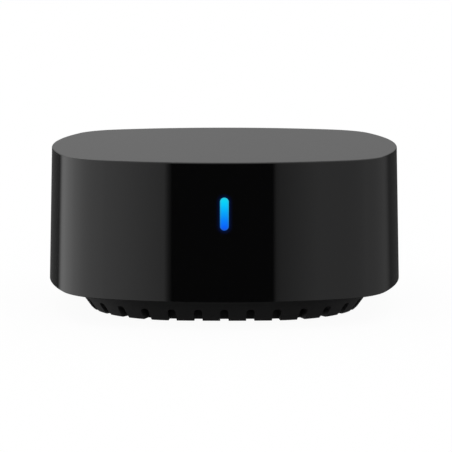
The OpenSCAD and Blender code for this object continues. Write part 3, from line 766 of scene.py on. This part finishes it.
class PUCK_OT_base_tray(bpy.types.Operator):
    """Tapered base with its vent slots, foot recess, flange, tongue and screw posts"""
    bl_idname = "puck.base_tray"
    bl_label = "Base Tray"

    def execute(self, context):
        size, shell = context.scene.puck_base, context.scene.puck_shell
        foot, seam = BASE_LOW.z, SHELL_LOW.z
        line = (size.width / 2, size.bow, size.corner)
        slope = size.flare / (seam - foot)
        across = size.wall * math.sqrt(1 + slope * slope)
        rim = grown(shell_line(shell), -shell.wall - size.tongue_gap)
        pad = grown(line, -size.foot_inset)
        recess, deck = foot + size.foot_recess, foot + size.floor
        flange, tongue = seam + size.flange, seam + size.flange + size.tongue
        low_hold, high_hold = 0.3 * MM, 0.1 * MM
        bm = bmesh.new()
        edge = [(pad, 0, recess), (pad, 0, foot)]
        edge += [(line, out, z) for out, z in quarter_round(0, foot + size.edge, size.edge, -90, 4)]
        edge += [(line, slope * low_hold, foot + low_hold),
                 (line, size.flare - slope * high_hold, seam - high_hold),
                 (line, size.flare, seam), (rim, 0, seam), (rim, 0, tongue), (rim, -size.tongue_wall, tongue),
                 (rim, -size.tongue_wall, flange), (line, size.flare - across, flange),
                 (line, size.flare - across, seam), (line, slope * size.floor - across, deck)]
        puck_form(bm, edge)
        mesh = to_mesh(bm, "base")

        places = [around(a, shell.ring) for a in SCREW_ANGLES]
        head, post_wall = size.screw_head, 1 * MM
        below, above = foot - CUT_PAST, BASE_HIGH.z + CUT_PAST
        for diameter, low, high, operation in (
                (head + 2 * post_wall, (recess + deck) / 2, BASE_HIGH.z, "UNION"),
                (head, below, foot + size.screw_seat, "DIFFERENCE"),
                (size.screw_hole, below, above, "DIFFERENCE")):
            tool = bmesh.new()
            for spot in places:
                upright(tool, diameter, spot.x, spot.y, low, high)
            mesh = combine(mesh, to_mesh(tool, "posts"), operation)
        mesh = combine(mesh, to_mesh(self.vents(size, line, foot), "vents"), "DIFFERENCE")
        finish_piece("base_tray", mesh, base_finish(context.scene), "base_black", HOUSING, "base_cover")
        return {"FINISHED"}

    @staticmethod
    def vents(size, line, foot):
        """Cutters of the slots, evenly spaced along the edge and square to it, with two round top corners."""
        _, bow, corner = line
        turn = arcs_of(line)[2]
        side_length = 2 * bow * turn + corner * (math.pi / 2 - 2 * turn)
        half, deep, round_r, steps = size.vent_width / 2, size.vent_depth, size.vent_corner, 6
        low, corner_z = foot - CUT_PAST, foot + size.vent_height - round_r
        bm = bmesh.new()
        for i in range(size.vents):
            way = 4 * i / size.vents
            side = math.floor(way + 0.5)
            spot, facing = front_place(line, (way - side) * side_length)
            known = set(bm.verts)
            loop = trace(bm, Vector((-half, deep, low)), [
                ("line", Vector((0, 0, corner_z - low))),
                ("arc", Vector((round_r - half, deep, corner_z)), (0, 1, 0), math.pi / 2, steps),
                ("line", Vector((2 * (half - round_r), 0, 0))),
                ("arc", Vector((half - round_r, deep, corner_z)), (0, 1, 0), math.pi / 2, steps),
                ("line", Vector((0, 0, low - corner_z))),
                ("line", Vector((-2 * half, 0, 0)))])
            extrude_along(bm, loop, (0, -deep - 2 * size.flare, 0))
            made = [v for v in bm.verts if v not in known]
            onto_side = Matrix.Rotation(side * math.pi / 2, 3, "Z")
            bmesh.ops.rotate(bm, verts=made, cent=(0, 0, 0), matrix=Matrix.Rotation(facing, 3, "Z"))
            bmesh.ops.translate(bm, verts=made, vec=spot)
            bmesh.ops.rotate(bm, verts=made, cent=(0, 0, 0), matrix=onto_side)
        return bm


class PUCK_OT_foot(bpy.types.Operator):
    """Rubber foot with a rounded lower edge, glued in the base's recess"""
    bl_idname = "puck.foot"
    bl_label = "Rubber Foot"

    def execute(self, context):
        size = context.scene.puck_base
        line = grown((size.width / 2, size.bow, size.corner), -size.foot_inset - SLIP)
        round_r, hold = 0.3 * MM, 0.1 * MM
        bm = bmesh.new()
        edge = [(-round_r - 2 * hold, 0)] + quarter_round(0, round_r, round_r, -90, 5)
        edge += [(0, round_r + hold), (0, FOOT_HIGH.z)]
        puck_form(bm, [(line, out, z) for out, z in edge])
        rubber = rubber_finish(context.scene)
        finish_piece("rubber_foot", to_mesh(bm, "foot"), rubber, "foot_rubber", HOUSING, "foot_pad")
        return {"FINISHED"}


class PUCK_OT_light_pill(bpy.types.Operator):
    """Lit pill that fills the slot in the shell flush, with a flange behind the wall"""
    bl_idname = "puck.light_pill"
    bl_label = "Light Pill"

    def execute(self, context):
        size, fit = context.scene.puck_shell, context.scene.puck_fittings
        line = shell_line(size)
        middle = (LENS_LOW + LENS_HIGH) / 2
        flange_back = LENS_HIGH.y
        flange_front = flange_back - fit.lens_flange
        bar = bmesh.new()
        pill_bar(bar, fit.pill_width, fit.pill_height, 0, middle.z, -line[0] - CUT_PAST,
                 flange_front + fit.lens_flange / 2)
        hull = bmesh.new()
        puck_form(hull, [(line, 0, SHELL_LOW.z), (line, -size.lean, SHELL_HIGH.z)])
        mesh = combine(to_mesh(bar, "bar"), to_mesh(hull, "hull"), "INTERSECT")
        flange = bmesh.new()
        pill_bar(flange, LENS_HIGH.x - LENS_LOW.x, LENS_HIGH.z - LENS_LOW.z, 0, middle.z,
                 flange_front, flange_back)
        mesh = combine(mesh, to_mesh(flange, "flange"), "UNION")
        finish_piece("light_pill", mesh, pill_finish(context.scene), "pill_light", HOUSING, "indicator_lens")
        return {"FINISHED"}


class PUCK_OT_reset_cap(bpy.types.Operator):
    """Crowned reset button with its flange and stem"""
    bl_idname = "puck.reset_cap"
    bl_label = "Reset Button"

    def execute(self, context):
        fit = context.scene.puck_fittings
        back, face = BUTTON_LOW.y, BUTTON_HIGH.y
        middle = (BUTTON_LOW + BUTTON_HIGH) / 2
        flange_r = (BUTTON_HIGH.x - BUTTON_LOW.x) / 2
        flange_back = back + fit.button_stem_length
        flange_front = flange_back + fit.button_flange
        radius, stem_r = fit.button / 2, fit.button_stem / 2
        edge, crown, hold = 0.3 * MM, 0.1 * MM, 0.1 * MM
        shoulder = face - crown - edge
        profile = [(0, back), (stem_r, back), (stem_r, flange_back), (flange_r, flange_back),
                   (flange_r, flange_front), (radius, flange_front), (radius, shoulder - hold)]
        turns = [math.radians(a) for a in range(0, 91, 15)]
        profile += [(radius - edge + edge * math.cos(a), shoulder + edge * math.sin(a)) for a in turns]
        profile += [((radius - edge) * k, face - crown * k * k) for k in (0.75, 0.5, 0.25, 0)]
        place = Matrix.Translation((middle.x, 0, middle.z)) @ Matrix.Rotation(-math.pi / 2, 4, "X")
        bm = bmesh.new()
        lathe(bm, profile, place)
        finish = moulded("button_satin_black", (0.007, 0.007, 0.0075), 0.35, 0.2, 0.006)
        finish_piece("reset_cap", to_mesh(bm, "reset"), finish, "button_black", RESET, "reset_button")
        return {"FINISHED"}


class PUCK_OT_power_inlet(bpy.types.Operator):
    """Inlet socket: its metal shell, its moulded tongue and the contacts on the tongue"""
    bl_idname = "puck.power_inlet"
    bl_label = "Power Inlet"

    def execute(self, context):
        fit = context.scene.puck_fittings
        wall, height = fit.socket_wall, fit.socket_height
        width = SOCKET_HIGH.x - SOCKET_LOW.x
        x = (SOCKET_LOW.x + SOCKET_HIGH.x) / 2
        z = SOCKET_HIGH.z - height / 2
        back, face = SOCKET_LOW.y, SOCKET_HIGH.y
        tube, bore, legs = bmesh.new(), bmesh.new(), bmesh.new()
        pill_bar(tube, width, height, x, z, back, face)
        pill_bar(bore, width - 2 * wall, height - 2 * wall, x, z, back - CUT_PAST, face + CUT_PAST)
        mesh = combine(to_mesh(tube, "tube"), to_mesh(bore, "bore"), "DIFFERENCE")
        mesh = softened(mesh, self.at_rear(face), 0.1 * MM)
        middle, apart, leg_half = (back + face) / 2, 0.22 * (face - back), 0.45 * MM
        for side in (-1, 1):
            for end in (-1, 1):
                spot = Vector((x + side * (width - wall) / 2, middle + end * apart, 0))
                low = spot + Vector((-wall / 2, -leg_half, SOCKET_LOW.z))
                brick(legs, low, spot + Vector((wall / 2, leg_half, z)))
        mesh = combine(mesh, to_mesh(legs, "legs"), "UNION")
        tin = brushed("inlet_tin", (0.72, 0.72, 0.71), 0.2, (1, 0.15, 1))
        finish_piece("inlet_shell", mesh, tin, "tinned_metal", HOUSING, "usb_socket_shell")

        tongue_w, tongue_t, block = 6.69 * MM, 0.7 * MM, 2.2 * MM
        end = face - 0.6 * MM
        body, blade = bmesh.new(), bmesh.new()
        pill_bar(body, width - 2 * wall, height - 2 * wall, x, z, back, back + block)
        brick(blade, (x - tongue_w / 2, back + block / 2, z - tongue_t / 2),
              (x + tongue_w / 2, end, z + tongue_t / 2))
        blade = softened(to_mesh(blade, "blade"), self.at_rear(end), 0.12 * MM)
        mesh = combine(to_mesh(body, "block"), blade, "UNION")
        black = moulded("inlet_moulding_black", (0.012, 0.012, 0.013), 0.45, 0.2, 0.006)
        finish_piece("inlet_tongue", mesh, black, "chip_black", HOUSING, "usb_socket_tongue")

        count, pitch, half, proud = 12, 0.5 * MM, 0.14 * MM, 0.03 * MM
        sunk, setback = 0.1 * MM, 0.35 * MM
        bars = bmesh.new()
        for side in (-1, 1):
            face_z = z + side * tongue_t / 2
            for i in range(count):
                at = x + (i - (count - 1) / 2) * pitch
                low = (at - half, back + block - sunk, face_z - proud)
                brick(bars, low, (at + half, end - setback, face_z + proud))
        gold = brushed("contact_gold", (0.83, 0.6, 0.25), 0.18, (1, 0.1, 1))
        finish_piece("inlet_contacts", to_mesh(bars, "contacts"), gold, "tinned_metal", HOUSING)
        return {"FINISHED"}

    @staticmethod
    def at_rear(end):
        """Test for the edges at the rear end of a piece."""
        near = end - 0.01 * MM
        return lambda edge: all(v.co.y > near for v in edge.verts)


class PUCK_OT_inner_parts(bpy.types.Operator):
    """Finishes of the boards, emitters, chips and screws inside the housing"""
    bl_idname = "puck.inner_parts"
    bl_label = "Inner Parts"

    def execute(self, context):
        green = board_finish("board_green_mask", (0.012, 0.11, 0.045), (0.02, 0.19, 0.08))
        blue = board_finish("module_blue_mask", (0.01, 0.03, 0.12), (0.015, 0.06, 0.2))
        tin = brushed("tin_plate", (0.7, 0.7, 0.69), 0.25, (1, 1, 0.2))
        epoxy = moulded("chip_black_epoxy", (0.02, 0.02, 0.021), 0.55, 0.12, 0.01)
        lens = moulded("emitter_tinted_epoxy", (0.012, 0.012, 0.03), 0.06, 1.5, 0.002, Coat_Weight=0.4)
        white = moulded("baffle_white", (0.78, 0.78, 0.76), 0.5, 0.3, 0.01)
        package = moulded("led_package_white", (0.85, 0.83, 0.7), 0.4, 0.2, 0.005)
        looks = {
            "housing_screws": screw_finish(), "light_baffle": white, "indicator_board": green,
            "indicator_leds": package, "main_board": green, "ir_led_leads": tin, "ir_receiver": epoxy,
            "ir_receiver_leads": tin, "wifi_module_board": blue, "wifi_shield_can": tin,
            "voltage_regulator": epoxy, "bulk_capacitor": can_finish(), "driver_transistors": epoxy,
            "chip_resistors": epoxy, "chip_capacitors": ceramic_chip_finish(), "reset_switch": tin,
            "reset_plunger": epoxy,
        }
        for name in ("front_right", "right", "rear_right", "rear_left", "left", "front_left", "top"):
            looks["ir_led_" + name] = lens
        for name, material in looks.items():
            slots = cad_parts[name].data.materials
            slots.clear()
            slots.append(material)
        return {"FINISHED"}


class PUCK_OT_studio(bpy.types.Operator):
    """Pale floor, even light with two large soft boxes that the gloss shows, and the camera"""
    bl_idname = "puck.studio"
    bl_label = "Studio"

    def execute(self, context):
        scene, set_up = context.scene, context.scene.puck_studio
        scene.view_settings.view_transform = "Standard"
        self.add_camera(scene, set_up)
        self.add_floor(set_up)
        self.light_world(scene, set_up)
        return {"FINISHED"}

    @staticmethod
    def add_camera(scene, set_up):
        data = bpy.data.cameras.new("camera")
        data.sensor_width, data.lens = 36, set_up.lens
        data.shift_x, data.shift_y = set_up.shift_x, set_up.shift_y
        data.clip_start, data.clip_end = 0.01, 20
        camera = bpy.data.objects.new("camera", data)
        scene.collection.objects.link(camera)
        away = Vector((0, -math.cos(set_up.elevation), math.sin(set_up.elevation)))
        camera.location = Vector((0, 0, set_up.aim)) + away * set_up.distance
        camera.rotation_euler = (-away).to_track_quat("-Z", "Y").to_euler()
        scene.camera = camera

    @staticmethod
    def add_floor(set_up):
        """Floor that is white to the camera and keeps a faint contact shadow."""
        bm = bmesh.new()
        bmesh.ops.create_grid(bm, x_segments=1, y_segments=1, size=set_up.floor / 2)
        mesh = bpy.data.meshes.new("floor")
        bm.to_mesh(mesh)
        bm.free()
        floor = bpy.data.objects.new("floor", mesh)
        bpy.context.scene.collection.objects.link(floor)
        floor.visible_glossy = False
        material = bpy.data.materials.new("floor_pale")
        finish = Finish(material)
        keep = 0.05
        camera = finish.node("ShaderNodeLightPath", {}, out="Is Camera Ray")
        paper = finish.node("ShaderNodeBsdfDiffuse", {}, Color=(keep, keep, keep, 1))
        white = finish.node("ShaderNodeEmission", {}, Color=(1, 1, 1, 1), Strength=camera * (1 - keep))
        both = finish.node("ShaderNodeAddShader", {}, paper, white)
        finish.node("ShaderNodeOutputMaterial", {}, both)
        mesh.materials.append(material)

    @staticmethod
    def light_world(scene, set_up):
        """White to the camera, even light on matt faces, and soft boxes at both sides for the gloss."""
        world = bpy.data.worlds.new("studio")
        scene.world = world
        finish = Finish(world)
        towards = finish.node("ShaderNodeTexCoord", {}, out="Generated")
        x, y, z = (finish.node("ShaderNodeSeparateXYZ", {}, towards, out=axis) for axis in "XYZ")
        bearing = x.maths("ARCTAN2", 0 - y) / (2 * math.pi) + 0.5
        # Level of the studio by bearing in degrees from the front, left negative: a bright soft box at the
        # left, a dark gap in front, a dimmer soft box at the right, and a dark rear
        levels = [(-180, 0.1), (-150, 0.05), (-146, 0.5), (-115, 1.05), (-95, 1.2), (-45, 1.0), (-28, 0.65),
                  (-20, 0.5), (-19.5, 0.02), (17, 0.02), (18.5, 0.3), (33, 0.55), (85, 0.55), (145, 0.15),
                  (150, 0.05)]
        stops = [(a / 360 + 0.5, level) for a, level in levels]
        ring = finish.node("ShaderNodeValToRGB", {"stops": stops}, bearing)
        overhead = z.ramp(0.02, 0.45)
        studio = finish.blend(overhead, ring, (set_up.sky,) * 3)
        underneath = 1 - z.ramp(-0.75, -0.3)
        studio = finish.blend(underneath, studio, (0.1, 0.1, 0.1))
        gloss = finish.node("ShaderNodeLightPath", {}, out="Is Glossy Ray")
        camera = finish.node("ShaderNodeLightPath", {}, out="Is Camera Ray")
        level = finish.blend(gloss, (set_up.fill,) * 3, studio)
        level = finish.blend(camera, level, (1.0, 1.0, 1.0))
        light = finish.node("ShaderNodeBackground", {}, level, 1.0)
        finish.node("ShaderNodeOutputWorld", {}, light)
        world.cycles.sampling_method = "NONE"


class PUCK_PT_pieces(bpy.types.Panel):
    """Sizes and steps of the puck"""
    bl_idname = "PUCK_PT_pieces"
    bl_label = "Infrared Blaster Puck"
    bl_space_type = "VIEW_3D"
    bl_region_type = "UI"
    bl_category = "Puck"

    def draw(self, context):
        layout = self.layout
        for name in GROUPS:
            box = layout.box()
            group = getattr(context.scene, name)
            for key in group.bl_rna.properties.keys():
                if key not in ("rna_type", "name"):
                    box.prop(group, key)
        for step in STEPS:
            layout.operator(step.bl_idname)


GROUPS = {
    "puck_shell": ShellSizes,
    "puck_base": BaseSizes,
    "puck_fittings": FittingSizes,
    "puck_colours": PuckColours,
    "puck_studio": StudioSettings,
}
STEPS = (PUCK_OT_shell_cover, PUCK_OT_base_tray, PUCK_OT_foot, PUCK_OT_light_pill, PUCK_OT_reset_cap,
         PUCK_OT_power_inlet, PUCK_OT_inner_parts, PUCK_OT_studio)


def register():
    for item in (*GROUPS.values(), *STEPS, PUCK_PT_pieces):
        bpy.utils.register_class(item)
    for name, group in GROUPS.items():
        setattr(bpy.types.Scene, name, PointerProperty(type=group))


def unregister():
    for name in GROUPS:
        delattr(bpy.types.Scene, name)
    for item in reversed((*GROUPS.values(), *STEPS, PUCK_PT_pieces)):
        bpy.utils.unregister_class(item)


def main():
    register()
    bpy.ops.puck.shell_cover()
    bpy.ops.puck.base_tray()
    bpy.ops.puck.foot()
    bpy.ops.puck.light_pill()
    bpy.ops.puck.reset_cap()
    bpy.ops.puck.power_inlet()
    bpy.ops.puck.inner_parts()
    bpy.ops.puck.studio()


if __name__ == "__main__":
    main()
